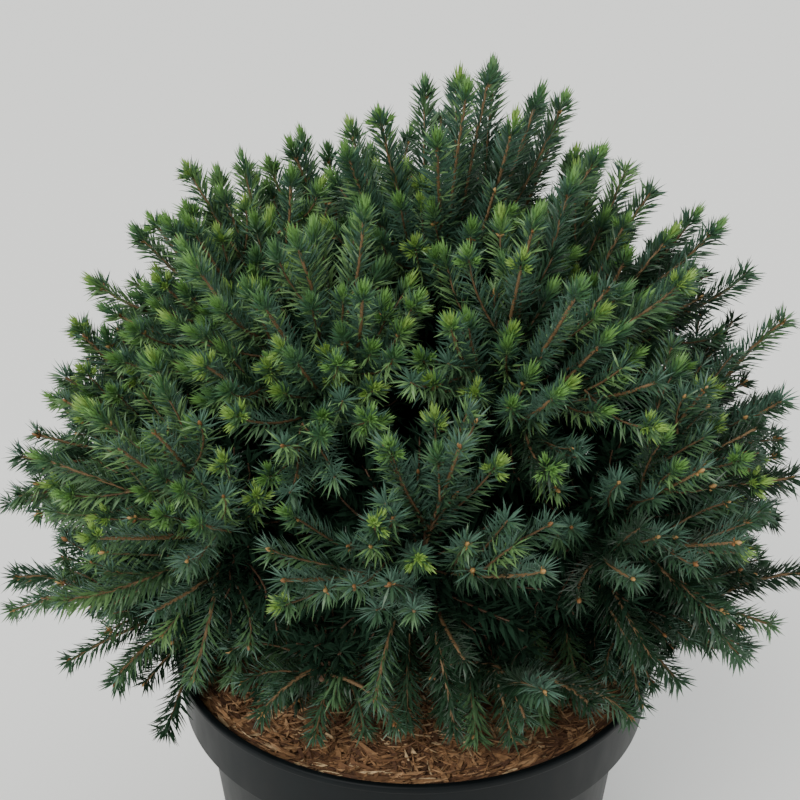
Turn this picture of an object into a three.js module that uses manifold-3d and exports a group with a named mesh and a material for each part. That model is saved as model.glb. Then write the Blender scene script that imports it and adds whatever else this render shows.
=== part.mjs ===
// A dwarf mound-forming spruce in a round nursery pot, in millimetres, +Z up.
// The origin is the centre of the pot's flat underside. The plant's front faces -Y and its left is -X.
//
// The crown is a ball of short needled shoots around a hub on the trunk. It is divided into cone-shaped
// cells that open outwards from the hub, one for each mass of foliage, so no two masses can meet. A ball
// around the hub is left to the trunk and the boughs.
import * as THREE from "three";
import { mergeVertices } from "three/addons/utils/BufferGeometryUtils.js";
import Module from "manifold-3d";

const wasm = await Module();
wasm.setup();

// ---------------------------------------------------------------- driving dimensions
const GAP = 0.3; // air left between neighbouring pieces
const WELD = 1e-4; // corners closer than this are one
const SLIVER = 0.2; // details of foliage finer than this are cleaned away
const POT = {
  height: 205,
  wall: 2.2,
  floor: 3,
  baseRadius: 101,
  neckRadius: 117.5, // outside of the body, just under the collar
  collarHeight: 33,
  collarLowRadius: 128,
  collarTopRadius: 129.4,
  lipRadius: 131,
  lipHeight: 4,
  slotCount: 8, // drainage slots where the wall meets the floor
  slotWidth: 13,
  slotHeight: 5.5,
  slotDepth: 17,
  slotOut: 3, // past the wall
  sides: 40,
};
const SOIL = {
  belowRim: 9, // level at the pot's wall
  dome: 5, // rise towards the trunk
  flatRadius: 27, // level patch that the trunk stands on
  rings: 4,
  bump: 2.2,
  bumpPitch: [9, 11],
};
const HUB = new THREE.Vector3(0, 0, 265); // centre of the crown
const HUB_RADIUS = 80; // ball kept for trunk and boughs
const CROWN = {
  radius: 200,
  // How far the low crown draws in over the soil, as a share, on each side.
  frontTuck: 0.42,
  backTuck: 0.2,
  leftTuck: 0.12,
  rightTuck: 0.18,
  tuckFrom: 0.42, // the tuck begins at this sine of elevation and is full at the next
  tuckFull: -0.45,
  leftSpread: 0.15, // how far the sides spread past the ball near the hub's height
  rightSpread: 0.07,
  spreadBand: 0.25,
};
const TRUNK = {
  footRadius: 13.5,
  tipRadius: 5,
  flare: 6, // widening of the root ribs at the foot
  flareHeight: 16,
  ribs: 5,
  foot: new THREE.Vector2(-3, 1), // the trunk leans from here to the hub's top
  bow: 4,
  sides: 10,
  steps: 9,
  levelCut: 4, // rings lower than this above the foot are set level
};
const BOUGH = { baseRadius: 4.4, tipRadius: 2.5, sides: 5, steps: 3 };

// Tiers of masses, from the ground up. az0 is the first one's compass angle from +X, anticlockwise, and
// forks are the heights at which neighbouring boughs leave the trunk, in turn. The first few shoots of a
// mass, its leaders, reach further by the share `lift`.
const TIERS = [
  { name: "skirt", count: 8, az0: 22.5, elevation: -11, shoots: 8, forks: [222, 238], leaders: 0, lift: 0 },
  { name: "shoulder", count: 8, az0: 0, elevation: 22, shoots: 8, forks: [254, 270], leaders: 1, lift: 0.04 },
  { name: "upper", count: 6, az0: 0, elevation: 53, shoots: 8, forks: [288, 305], leaders: 1, lift: 0.05 },
  { name: "leader", count: 1, az0: -15, elevation: 82, shoots: 9, forks: [], leaders: 3, lift: 0.17 },
];
const LOWEST_ELEVATION = -52; // unseen directions that bound the skirt's cells from below

const SHOOT = {
  columns: 4, // sides of the slim core
  rings: 5, // rings along the needled part
  rootRadius: 2.2,
  tipRadius: 1.2,
  needle: 15, // length of a needle
  needleLean: 52, // degrees between needle and shoot
  needledShare: 0.7, // outer part of a shoot that bears needles
  longest: 51, // of the needled part
  tuft: 0.55, // the tip's own needle stands this share of a needle past the last ring
  shortest: 0.95, // shoots end at this share of the crown's reach, or up to `spread` further
  spread: 0.09,
  tipMargin: 6, // how far shoot tips keep inside their cell
  jitter: 0.5, // radians that a shoot may turn about its mass's axis
  angleStep: 0.02,
  fullDepth: 105, // a mass that stands out less than this from the hub's ball has fewer shoots
  fewest: 0.5, // and at least this share of them
  rootsFrom: 0.2, // shoots leave the stem from this share of its length to the other
  rootsTo: 0.95,
};
const CORE = {
  share: 0.71, // of the crown's reach
  inset: 9, // from the hub's ball
  shortest: 10,
  columns: 8,
  rings: 3,
  firstRing: 0.7, // place of the first ring, in ring spacings from the inner end
  waist: 0.72, // plain corners, as a share of the spikes
  nose: 8,
  potMargin: 6,
  step: 1,
};
const STEM = { radius: 2.4, sides: 5, share: 0.55 };
const CLEAR = {
  cell: 0.4, // from the sides of a mass's cell
  hub: 2, // from the hub's ball
  pot: 3,
  hang: 45, // foliage outside the pot may hang this far below its rim
};
const GOLDEN_ANGLE = Math.PI * (3 - Math.sqrt(5));
const MOST_SEEDS = 8;
const SHORTEST_EDGE = 0.01;

const COLOURS = {
  pot: { color: 0x2b2e30, roughness: 0.45, metalness: 0 },
  soil: { color: 0x6b4228, roughness: 0.95, metalness: 0 },
  bark: { color: 0x6e4a30, roughness: 0.9, metalness: 0 },
  needles: { color: 0x2c4f3c, roughness: 0.6, metalness: 0 },
};

// ---------------------------------------------------------------- small helpers
const rad = THREE.MathUtils.degToRad;
const { lerp, smoothstep } = THREE.MathUtils;
const UP = new THREE.Vector3(0, 0, 1);

// The same run of numbers from 0 to 1 each time, for one seed.
function seeded(seed) {
  let state = seed >>> 0;
  return () => (state = (Math.imul(state, 1664525) + 1013904223) >>> 0) / 2 ** 32;
}

const direction = (azimuth, elevation) =>
  new THREE.Vector3(
    Math.cos(rad(elevation)) * Math.cos(rad(azimuth)),
    Math.cos(rad(elevation)) * Math.sin(rad(azimuth)),
    Math.sin(rad(elevation)),
  );

function toSolid(geometry) {
  const bare = geometry.clone();
  for (const name of Object.keys(bare.attributes)) if (name !== "position") bare.deleteAttribute(name);
  const merged = mergeVertices(bare, WELD);
  return new wasm.Manifold(
    new wasm.Mesh({
      numProp: 3,
      vertProperties: new Float32Array(merged.attributes.position.array),
      triVerts: new Uint32Array(merged.index.array),
    }),
  );
}

function toGeometry(solid) {
  const mesh = solid.getMesh();
  const geometry = new THREE.BufferGeometry();
  geometry.setAttribute("position", new THREE.BufferAttribute(new Float32Array(mesh.vertProperties), 3));
  geometry.setIndex(new THREE.BufferAttribute(new Uint32Array(mesh.triVerts), 1));
  return geometry;
}

function shortestEdge(geometry) {
  const place = geometry.attributes.position;
  const corners = Array.from(geometry.index.array, (i) => new THREE.Vector3().fromBufferAttribute(place, i));
  return corners.reduce(
    (least, corner, i) => Math.min(least, corner.distanceTo(corners[i % 3 === 2 ? i - 2 : i + 1])),
    Infinity,
  );
}

// The largest closed body of a solid, without loose scraps, sealed hollows and slivers.
function mainBody(solid) {
  const bodies = solid.simplify(SLIVER).decompose();
  return bodies.reduce((best, body) => (body.volume() > best.volume() ? body : best));
}

// A limb along a curve: a cylinder with its rings set across the curve and scaled by radiusAt(share, angle).
function limb(curve, radiusAt, sides, steps) {
  const geometry = new THREE.CylinderGeometry(1, 1, 1, sides, steps);
  const place = geometry.attributes.position;
  const frames = curve.computeFrenetFrames(steps, false);
  for (let i = 0; i < place.count; i++) {
    const share = place.getY(i) + 0.5;
    const step = Math.round(share * steps);
    const across = Math.hypot(place.getX(i), place.getZ(i));
    const angle = Math.atan2(place.getZ(i), place.getX(i));
    const radius = across * radiusAt(share, angle);
    // Normal and binormal swapped, so that the sides face outwards.
    const point = curve
      .getPoint(share)
      .addScaledVector(frames.binormals[step], radius * Math.cos(angle))
      .addScaledVector(frames.normals[step], radius * Math.sin(angle));
    place.setXYZ(i, point.x, point.y, point.z);
  }
  return geometry;
}

// ---------------------------------------------------------------- pot and soil
function potProfile() {
  const shoulder = POT.height - POT.collarHeight;
  const lip = POT.height - POT.lipHeight;
  return [
    [0, 0],
    [POT.baseRadius - 2, 0],
    [POT.baseRadius, 2],
    [POT.neckRadius, shoulder],
    [POT.collarLowRadius - 1, shoulder],
    [POT.collarLowRadius, shoulder + 1],
    [POT.collarTopRadius, lip],
    [POT.lipRadius, lip + 1],
    [POT.lipRadius, POT.height - 1],
    [POT.lipRadius - 1, POT.height],
    [POT.collarTopRadius - POT.wall, POT.height],
    [POT.collarLowRadius - POT.wall, shoulder + POT.wall],
    [POT.neckRadius - POT.wall, shoulder + POT.wall],
    [POT.baseRadius - POT.wall, POT.floor],
    [0, POT.floor],
  ].map(([r, z]) => new THREE.Vector2(r, z));
}

function potGeometry() {
  let pot = toSolid(new THREE.LatheGeometry(potProfile(), POT.sides).rotateX(Math.PI / 2));
  for (let i = 0; i < POT.slotCount; i++) {
    const slot = new THREE.BoxGeometry(POT.slotDepth, POT.slotWidth, 2 * POT.slotHeight);
    slot.translate(POT.baseRadius + POT.slotOut - POT.slotDepth / 2, 0, 0);
    slot.rotateZ(((i + 0.5) * 2 * Math.PI) / POT.slotCount);
    pot = pot.subtract(toSolid(slot));
  }
  return toGeometry(pot);
}

const SOIL_EDGE_Z = POT.height - SOIL.belowRim;
const SOIL_TOP_Z = SOIL_EDGE_Z + SOIL.dome;

function soilGeometry() {
  const shoulder = POT.height - POT.collarHeight + POT.wall;
  const edge = POT.collarLowRadius - POT.wall - GAP;
  const profile = [
    [0, POT.floor + GAP],
    [POT.baseRadius - POT.wall - 2 * GAP, POT.floor + GAP],
    [POT.neckRadius - POT.wall - 2 * GAP, shoulder + GAP],
    [edge, shoulder + GAP],
    [edge, SOIL_EDGE_Z],
  ];
  for (let i = 1; i <= SOIL.rings; i++) {
    const share = i / SOIL.rings;
    profile.push([lerp(edge, SOIL.flatRadius, share), SOIL_EDGE_Z + SOIL.dome * smoothstep(share, 0, 1)]);
  }
  profile.push([0, SOIL_TOP_Z]);
  const points = profile.map(([r, z]) => new THREE.Vector2(r, z));
  const geometry = new THREE.LatheGeometry(points, POT.sides).rotateX(Math.PI / 2);
  const place = geometry.attributes.position;
  for (let i = 0; i < place.count; i++) {
    const [x, y, z] = [place.getX(i), place.getY(i), place.getZ(i)];
    const isMiddle = Math.hypot(x, y) < SOIL.flatRadius + 1;
    const wave = Math.sin(x / SOIL.bumpPitch[0]) * Math.cos(y / SOIL.bumpPitch[1]);
    if (z > SOIL_EDGE_Z + 0.1 && !isMiddle) place.setZ(i, z + SOIL.bump * wave);
  }
  return toGeometry(toSolid(geometry));
}

// ---------------------------------------------------------------- the crown's form
// How far the crown reaches from the hub in a direction.
function crownReach(toward) {
  const flat = Math.max(Math.hypot(toward.x, toward.y), 1e-6);
  const [side, front] = [toward.x / flat, -toward.y / flat];
  const frontTuck = front > 0 ? CROWN.frontTuck : CROWN.backTuck;
  const sideTuck = side < 0 ? CROWN.leftTuck : CROWN.rightTuck;
  const spread = side < 0 ? CROWN.leftSpread : CROWN.rightSpread;
  const low = 1 - smoothstep(toward.z, CROWN.tuckFull, CROWN.tuckFrom);
  const nearLevel = Math.exp(-((toward.z / CROWN.spreadBand) ** 2));
  const tuck = (frontTuck * front ** 2 + sideTuck * side ** 2) * low;
  return CROWN.radius * (1 - tuck + spread * side ** 4 * nearLevel);
}

const masses = TIERS.flatMap((tier) =>
  Array.from({ length: tier.count }, (_, i) => ({
    name: tier.count > 1 ? `${tier.name}_${i + 1}` : tier.name,
    tier,
    toward: direction(tier.az0 + (360 * i) / tier.count, tier.elevation),
    fork: tier.forks[i % 2],
  })),
);
masses.forEach((mass, i) => (mass.seed = 101 + 7919 * i));
const [skirt] = TIERS;
const unseen = Array.from({ length: skirt.count }, (_, i) =>
  direction(skirt.az0 + (360 * i) / skirt.count, LOWEST_ELEVATION),
);

// How far inside a mass's cell a point lies, in millimetres: negative outside it.
function insideCell(mass, point) {
  const from = point.clone().sub(HUB);
  let least = Infinity;
  for (const other of [...masses.map((m) => m.toward), ...unseen]) {
    if (other === mass.toward) continue;
    const across = mass.toward.clone().sub(other).normalize();
    least = Math.min(least, from.dot(across));
  }
  return least;
}

// Whether a point keeps clear of pot and soil.
function clearOfPot(point, margin) {
  const fromAxis = Math.hypot(point.x, point.y);
  if (fromAxis < POT.neckRadius) return point.z > SOIL_TOP_Z + margin;
  return point.z > POT.height + (fromAxis < POT.lipRadius + margin ? margin : -CLEAR.hang);
}

const inOwnSpace = (mass, point, potMargin = CLEAR.pot) =>
  insideCell(mass, point) > CLEAR.cell &&
  clearOfPot(point, potMargin) &&
  point.distanceTo(HUB) > HUB_RADIUS + CLEAR.hub;

// ---------------------------------------------------------------- trunk and boughs
const TRUNK_FOOT_Z = SOIL_TOP_Z + GAP;
const trunkTip = HUB.clone().addScaledVector(masses.at(-1).toward, HUB_RADIUS);
const trunkHeight = trunkTip.z - TRUNK_FOOT_Z;
const trunkPoint = (x, y, share) => new THREE.Vector3(x, y, TRUNK_FOOT_Z + share * trunkHeight);
const trunkCurve = new THREE.CatmullRomCurve3([
  trunkPoint(TRUNK.foot.x, TRUNK.foot.y, 0),
  trunkPoint(TRUNK.foot.x / 2, -TRUNK.bow / 2, 1 / 3),
  trunkPoint(trunkTip.x / 2, TRUNK.bow / 2, 2 / 3),
  trunkTip,
]);

// The trunk, grown by `extra` all round where it is taken from the boughs.
function trunkSolid(extra = 0) {
  const radiusAt = (share, angle) => {
    const flare = Math.exp(-share * (trunkHeight / TRUNK.flareHeight));
    const rib = 0.5 + 0.5 * Math.cos(TRUNK.ribs * angle);
    return lerp(TRUNK.footRadius, TRUNK.tipRadius, share) + TRUNK.flare * flare * rib + extra;
  };
  const geometry = limb(trunkCurve, radiusAt, TRUNK.sides, TRUNK.steps);
  // The foot is a level cut, whatever the lean.
  const place = geometry.attributes.position;
  for (let i = 0; i < place.count; i++)
    if (place.getZ(i) < TRUNK_FOOT_Z + TRUNK.levelCut) place.setZ(i, TRUNK_FOOT_Z);
  return toSolid(geometry);
}

// A bough leaves the trunk at its fork and turns outwards to meet its mass's stem at the hub's ball.
function boughGeometry(mass, trunkClearance) {
  const start = trunkCurve.getPoint((mass.fork - TRUNK_FOOT_Z) / trunkHeight);
  const end = HUB.clone().addScaledVector(mass.toward, HUB_RADIUS - GAP);
  const bend = end.clone().addScaledVector(mass.toward, -start.distanceTo(end) / 2);
  const curve = new THREE.QuadraticBezierCurve3(start, bend, end);
  const radiusAt = (share) => lerp(BOUGH.baseRadius, BOUGH.tipRadius, share);
  const whole = toSolid(limb(curve, radiusAt, BOUGH.sides, BOUGH.steps));
  // Of what the trunk leaves of it, the part that holds the tip.
  return toGeometry(mainBody(whole.subtract(trunkClearance)));
}

// ---------------------------------------------------------------- masses of foliage
// Two directions that, with `along`, make a right-handed frame.
function acrossFrom(along) {
  const helper = Math.abs(along.z) > 0.9 ? new THREE.Vector3(1, 0, 0) : UP;
  const side = new THREE.Vector3().crossVectors(along, helper).normalize();
  return [side, new THREE.Vector3().crossVectors(along, side)];
}

// A closed body of rings between a foot and a tip, with every second corner drawn out into a spike, so
// that each spike is a four-sided pyramid. ringPoint(ring, angle, isSpike) gives the corners, and a null
// for a spike leaves that corner plain.
function spikedGeometry(foot, tip, columns, rings, ringPoint) {
  const points = [];
  for (let j = 0; j < rings; j++)
    for (let i = 0; i < columns; i++) {
      const angle = ((i + 0.5) / columns) * 2 * Math.PI;
      const spike = (i + j) % 2 === 1 ? ringPoint(j, angle, true) : null;
      points.push(spike ?? ringPoint(j, angle, false));
    }
  const [footIndex, tipIndex] = [points.length, points.length + 1];
  points.push(foot, tip);
  const at = (i, j) => j * columns + (i % columns);
  const faces = [];
  for (let i = 0; i < columns; i++) {
    faces.push(at(i + 1, 0), at(i, 0), footIndex, at(i, rings - 1), at(i + 1, rings - 1), tipIndex);
    for (let j = 0; j < rings - 1; j++) {
      const [a, b, c, d] = [at(i, j), at(i + 1, j), at(i + 1, j + 1), at(i, j + 1)];
      // Each square is split between its two plain corners.
      if ((i + j) % 2 === 0) faces.push(a, b, c, a, c, d);
      else faces.push(a, b, d, b, c, d);
    }
  }
  const geometry = new THREE.BufferGeometry();
  const flat = points.flatMap((point) => point.toArray());
  geometry.setAttribute("position", new THREE.BufferAttribute(new Float32Array(flat), 3));
  return geometry.setIndex(faces);
}

// A needled shoot: a slim tapering core with needles that lean towards its tip. A needle that would leave
// the mass's space is left off.
function shootGeometry(mass, root, tip) {
  const along = tip.clone().sub(root);
  const length = along.length();
  along.normalize();
  const [side, rise] = acrossFrom(along);
  const needled = Math.min(length * SHOOT.needledShare, SHOOT.longest);
  const firstRing = length - needled;
  const lastRing = length - SHOOT.needle * SHOOT.tuft;
  const lean = rad(SHOOT.needleLean);
  return spikedGeometry(root.clone(), tip.clone(), SHOOT.columns, SHOOT.rings, (ring, angle, isSpike) => {
    const share = ring / (SHOOT.rings - 1);
    const centre = root.clone().addScaledVector(along, lerp(firstRing, lastRing, share));
    const outward = side.clone().multiplyScalar(Math.cos(angle)).addScaledVector(rise, Math.sin(angle));
    if (!isSpike) return centre.addScaledVector(outward, lerp(SHOOT.rootRadius, SHOOT.tipRadius, share));
    centre.addScaledVector(outward, SHOOT.needle * Math.sin(lean));
    centre.addScaledVector(along, SHOOT.needle * Math.cos(lean));
    return inOwnSpace(mass, centre) ? centre : null;
  });
}

// The dense inside of a mass: a lump with coarse spikes that fills the inner part of its cell.
function coreGeometry(mass) {
  const inner = HUB_RADIUS + CORE.inset;
  const outer = Math.max(crownReach(mass.toward) * CORE.share, inner + CORE.shortest);
  const [side, rise] = acrossFrom(mass.toward);
  const onAxis = (distance) => HUB.clone().addScaledVector(mass.toward, distance);
  const fits = (point) => {
    const from = point.clone().sub(HUB);
    const reach = from.length();
    const inCrown = reach < crownReach(from.divideScalar(reach)) * CORE.share;
    return inCrown && inOwnSpace(mass, point, CORE.potMargin);
  };
  const ringPoint = (ring, angle, isSpike) => {
    const centre = onAxis(lerp(inner, outer, (ring + CORE.firstRing) / CORE.rings));
    const outward = side.clone().multiplyScalar(Math.cos(angle)).addScaledVector(rise, Math.sin(angle));
    let far = CORE.step;
    while (fits(centre.clone().addScaledVector(outward, far + CORE.step))) far += CORE.step;
    return centre.addScaledVector(outward, far * (isSpike ? 1 : CORE.waist));
  };
  return spikedGeometry(onAxis(inner), onAxis(outer + CORE.nose), CORE.columns, CORE.rings, ringPoint);
}

// Directions of a mass's shoots: the first along its axis, the rest in a spiral that fills its cell.
function shootDirections(mass, random) {
  const depth = crownReach(mass.toward) - HUB_RADIUS;
  const fullness = THREE.MathUtils.clamp(depth / SHOOT.fullDepth, SHOOT.fewest, 1);
  const count = Math.round(mass.tier.shoots * fullness);
  const [side, rise] = acrossFrom(mass.toward);
  return Array.from({ length: count }, (_, k) => {
    const turn = k * GOLDEN_ANGLE + SHOOT.jitter * random();
    const across = side.clone().multiplyScalar(Math.cos(turn)).addScaledVector(rise, Math.sin(turn));
    const at = (angle) =>
      mass.toward.clone().multiplyScalar(Math.cos(angle)).addScaledVector(across, Math.sin(angle));
    const tipAt = (angle) => at(angle).multiplyScalar(CROWN.radius).add(HUB);
    let widest = 0;
    while (insideCell(mass, tipAt(widest + SHOOT.angleStep)) > SHOOT.tipMargin) widest += SHOOT.angleStep;
    return at(widest * Math.sqrt(k / (count - 1)));
  });
}

function massSolid(mass, seed) {
  const random = seeded(seed);
  const stemEnd = lerp(HUB_RADIUS, crownReach(mass.toward), STEM.share);
  const onAxis = (distance) => HUB.clone().addScaledVector(mass.toward, distance);
  const stemCurve = new THREE.LineCurve3(onAxis(HUB_RADIUS + GAP), onAxis(stemEnd));
  const parts = [toSolid(limb(stemCurve, () => STEM.radius, STEM.sides, 1)), toSolid(coreGeometry(mass))];
  const ways = shootDirections(mass, random);
  ways.forEach((way, k) => {
    const lift = k < mass.tier.leaders ? mass.tier.lift : 0;
    const reach = crownReach(way) * (SHOOT.shortest + SHOOT.spread * random() + lift);
    const along = lerp(SHOOT.rootsFrom, SHOOT.rootsTo, k / ways.length);
    const root = onAxis(lerp(HUB_RADIUS + CORE.inset, stemEnd, along));
    const tip = HUB.clone().addScaledVector(way, reach);
    if (inOwnSpace(mass, tip)) parts.push(toSolid(shootGeometry(mass, root, tip)));
  });
  return mainBody(wasm.Manifold.union(parts));
}

// Another seed is taken where shoots cross so closely that corners all but coincide.
function massGeometry(mass) {
  let best = { shortest: -1 };
  for (let attempt = 0; attempt < MOST_SEEDS && best.shortest < SHORTEST_EDGE; attempt++) {
    const geometry = toGeometry(massSolid(mass, mass.seed + 1000 * attempt));
    const shortest = shortestEdge(geometry);
    if (shortest > best.shortest) best = { shortest, geometry };
  }
  return best.geometry;
}

// ---------------------------------------------------------------- assembly
const plant = new THREE.Group();
plant.name = "potted_dwarf_spruce";

function addPiece(name, geometry, look) {
  const piece = new THREE.Mesh(geometry, new THREE.MeshStandardMaterial(look));
  piece.name = name;
  plant.add(piece);
}

addPiece("pot", potGeometry(), COLOURS.pot);
addPiece("soil", soilGeometry(), COLOURS.soil);
addPiece("trunk", toGeometry(trunkSolid()), COLOURS.bark);
const trunkClearance = trunkSolid(GAP);
for (const mass of masses) {
  if (mass.fork) addPiece(`bough_${mass.name}`, boughGeometry(mass, trunkClearance), COLOURS.bark);
  addPiece(`foliage_${mass.name}`, massGeometry(mass), COLOURS.needles);
}

export default plant;
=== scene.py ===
"""A mound-forming dwarf spruce in a round nursery pot, dressed over its solids.

Metres, +Z up, front towards -Y."""

import math
from collections import namedtuple
from functools import lru_cache

import bpy
import numpy as np
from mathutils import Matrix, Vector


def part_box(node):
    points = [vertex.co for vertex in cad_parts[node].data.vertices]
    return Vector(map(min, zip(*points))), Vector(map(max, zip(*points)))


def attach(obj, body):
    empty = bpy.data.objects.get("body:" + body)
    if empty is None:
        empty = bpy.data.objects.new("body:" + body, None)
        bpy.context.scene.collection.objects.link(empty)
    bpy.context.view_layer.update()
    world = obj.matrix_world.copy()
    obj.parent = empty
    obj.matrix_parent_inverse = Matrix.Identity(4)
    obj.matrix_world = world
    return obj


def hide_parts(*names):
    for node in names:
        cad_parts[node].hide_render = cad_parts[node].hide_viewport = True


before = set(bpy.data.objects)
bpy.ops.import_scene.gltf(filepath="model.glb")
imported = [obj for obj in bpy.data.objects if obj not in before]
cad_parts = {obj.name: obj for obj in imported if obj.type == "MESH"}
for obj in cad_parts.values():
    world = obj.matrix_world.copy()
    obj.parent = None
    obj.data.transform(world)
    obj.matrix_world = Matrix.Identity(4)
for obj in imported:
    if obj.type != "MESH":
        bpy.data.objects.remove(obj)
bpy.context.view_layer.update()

bl_info = {
    "name": "Potted dwarf spruce",
    "version": (1, 0, 0),
    "blender": (4, 5, 0),
    "location": "View3D > Sidebar > Spruce",
    "description": "Pot, bark mulch, boughs, needled shoots, buds and new growth of a potted dwarf spruce",
    "category": "Object",
}

MM = 0.001
UP = np.array([0.0, 0.0, 1.0])

# --- the frame's measures
POT_HIGH, SOIL_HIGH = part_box("pot")[1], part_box("soil")[1]
RIM_Z, LIP_RADIUS = POT_HIGH.z, POT_HIGH.x
SOIL_TOP, SOIL_RADIUS = SOIL_HIGH.z, SOIL_HIGH.x
TRUNK_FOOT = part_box("trunk")[0].z

# The crown's rule, as the solids follow it: a ball of shoots around a hub, cut into cone-shaped cells.
HUB = np.array([0.0, 0.0, 0.265])
HUB_RADIUS = 80 * MM  # kept for trunk and boughs
CROWN_RADIUS = 200 * MM
# How far each side draws in over the soil, from one height on the unit ball down to the other.
FRONT_TUCK, BACK_TUCK, LEFT_TUCK, RIGHT_TUCK = 0.42, 0.2, 0.12, 0.18
TUCK_FROM, TUCK_FULL = 0.42, -0.45
# How far the sides spread past the ball near the hub's height.
LEFT_SPREAD, RIGHT_SPREAD, SPREAD_BAND = 0.15, 0.07, 0.25
# Rings of masses: azimuth of the first one and elevation in degrees, twigs, and how far leaders stand out.
TIERS = (
    {"name": "skirt", "count": 8, "az0": 22.5, "elevation": -11, "twigs": 8, "leaders": 0, "lift": 0.0},
    {"name": "shoulder", "count": 8, "az0": 0.0, "elevation": 22, "twigs": 8, "leaders": 1, "lift": 0.04},
    {"name": "upper", "count": 6, "az0": 0.0, "elevation": 53, "twigs": 8, "leaders": 1, "lift": 0.05},
    {"name": "leader", "count": 1, "az0": -15.0, "elevation": 82, "twigs": 9, "leaders": 3, "lift": 0.17},
)
LOWEST_ELEVATION = -52.0  # of the unseen directions that bound the lowest cells
FORKS = {"skirt": (0.222, 0.238), "shoulder": (0.254, 0.270), "upper": (0.288, 0.305)}
GOLDEN_ANGLE = math.pi * (3 - math.sqrt(5))
MAIN_TWIG = {
    "seeds": (101, 7919),  # of the first mass, and from one to the next
    "full_depth": 105 * MM,  # a mass that stands out less has fewer twigs,
    "fewest": 0.5,  # but at least this share
    "jitter": 0.5,
    "angle_step": 0.02,
    "tip_margin": 6 * MM,  # inside their cell
    "reach": (0.95, 0.09),  # of the crown's, and its scatter
    "stem": 0.55,  # of the way from the hub's ball to the surface
    "inset": 9 * MM,
    "roots": (0.2, 0.75),  # the first one's place along the stem, and their run
}


# --- sizes and colours that a user would change
def size_setting(name, default, description):
    return bpy.props.FloatProperty(name=name, description=description, default=default, unit="LENGTH")


def colour_setting(name, default, description):
    return bpy.props.FloatVectorProperty(
        name=name, description=description, default=default, subtype="COLOR"
    )


class SpruceSettings(bpy.types.PropertyGroup):
    """Sizes, counts and colours of the plant and its pot"""

    seed: bpy.props.IntProperty(name="Seed", description="Another number grows another plant", default=7)
    tip_spacing: size_setting("Tip spacing", 17 * MM, "Distance between shoot tips on the crown's surface")
    inner_spacing: size_setting("Inner spacing", 17 * MM, "Distance between shoot tips inside the crown")
    needle_length: size_setting("Needle length", 10.8 * MM, "Length of a grown needle")
    needle_width: size_setting("Needle width", 1.1 * MM, "Width of a grown needle")
    needle_pitch: size_setting("Needle pitch", 0.37 * MM, "Length of shoot from one needle to the next")
    # Shade green is painted shade: the needles deep inside the crown get a much darker green than the rest.
    painted_shade_green: colour_setting("Shade green", (0.0098, 0.0285, 0.0152), "Needles inside the crown")
    # Deep to bright green are dealt partly by growth and partly as painted light and shade: brighter where
    # the key light falls, darker further from the tips and in the front's middle.
    deep_green: colour_setting("Deep green", (0.0142, 0.041, 0.0188), "Needles of weak shoots")
    blue_green: colour_setting("Blue green", (0.039, 0.091, 0.045), "Most grown needles")
    mid_green: colour_setting("Mid green", (0.078, 0.160, 0.067), "Needles of well lit shoots")
    bright_green: colour_setting("Bright green", (0.135, 0.255, 0.088), "Needles of the strongest shoots")
    lime: colour_setting("Lime", (0.235, 0.39, 0.085), "Needles that have just opened")
    pot_grey: colour_setting("Pot", (0.0042, 0.0060, 0.0068), "Moulded plastic of the pot")


def settings():
    return bpy.context.scene.spruce


# --- small helpers
def unit(vectors):
    return vectors / np.maximum(np.linalg.norm(vectors, axis=-1, keepdims=True), 1e-9)


def seeded(seed):
    """The solids' own run of numbers from 0 to 1 for one seed."""
    state = seed & 0xFFFFFFFF
    while True:
        state = (state * 1664525 + 1013904223) & 0xFFFFFFFF
        yield state / 2**32


def direction(azimuth, elevation):
    az, el = math.radians(azimuth), math.radians(elevation)
    return np.array([math.cos(el) * math.cos(az), math.cos(el) * math.sin(az), math.sin(el)])


def smoothstep(low, high, x):
    share = np.clip((x - low) / (high - low), 0, 1)
    return share * share * (3 - 2 * share)


def across_from(along):
    """Two directions square to one direction and to each other."""
    helper = np.array([1.0, 0, 0]) if abs(along[2]) > 0.9 else UP
    side = unit(np.cross(along, helper))
    return side, np.cross(along, side)


def turned(side, rise, turn):
    """The direction at an angle from `side` towards `rise`, or a row of them for a row of angles."""
    turn = np.asarray(turn)[..., None]
    return side * np.cos(turn) + rise * np.sin(turn)


def mesh_piece(name, corners, faces, materials, face_materials=None, smooth=False):
    """A piece of many joined shapes from arrays, which rides on the body."""
    mesh = bpy.data.meshes.new(name)
    mesh.vertices.add(len(corners))
    mesh.vertices.foreach_set("co", np.asarray(corners, np.float32).ravel())
    mesh.loops.add(faces.size)
    mesh.loops.foreach_set("vertex_index", np.asarray(faces, np.int32).ravel())
    mesh.polygons.add(len(faces))
    sides = faces.shape[1]
    mesh.polygons.foreach_set("loop_start", np.arange(0, faces.size, sides, dtype=np.int32))
    if face_materials is not None:
        mesh.polygons.foreach_set("material_index", np.asarray(face_materials, np.int32))
    mesh.polygons.foreach_set("use_smooth", np.full(len(faces), smooth))
    mesh.update(calc_edges=True)
    for material in materials:
        mesh.materials.append(material)
    piece = bpy.data.objects.new(name, mesh)
    bpy.context.collection.objects.link(piece)
    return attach(piece, "root")


def joined_copies(corners, pattern):
    """Joins shapes that all have the same faces, from an array (shapes, corners, 3)."""
    count, per_shape, _ = corners.shape
    faces = np.array(pattern)[None] + (np.arange(count) * per_shape)[:, None, None]
    return corners.reshape(-1, 3), faces.reshape(-1, 3)


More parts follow.
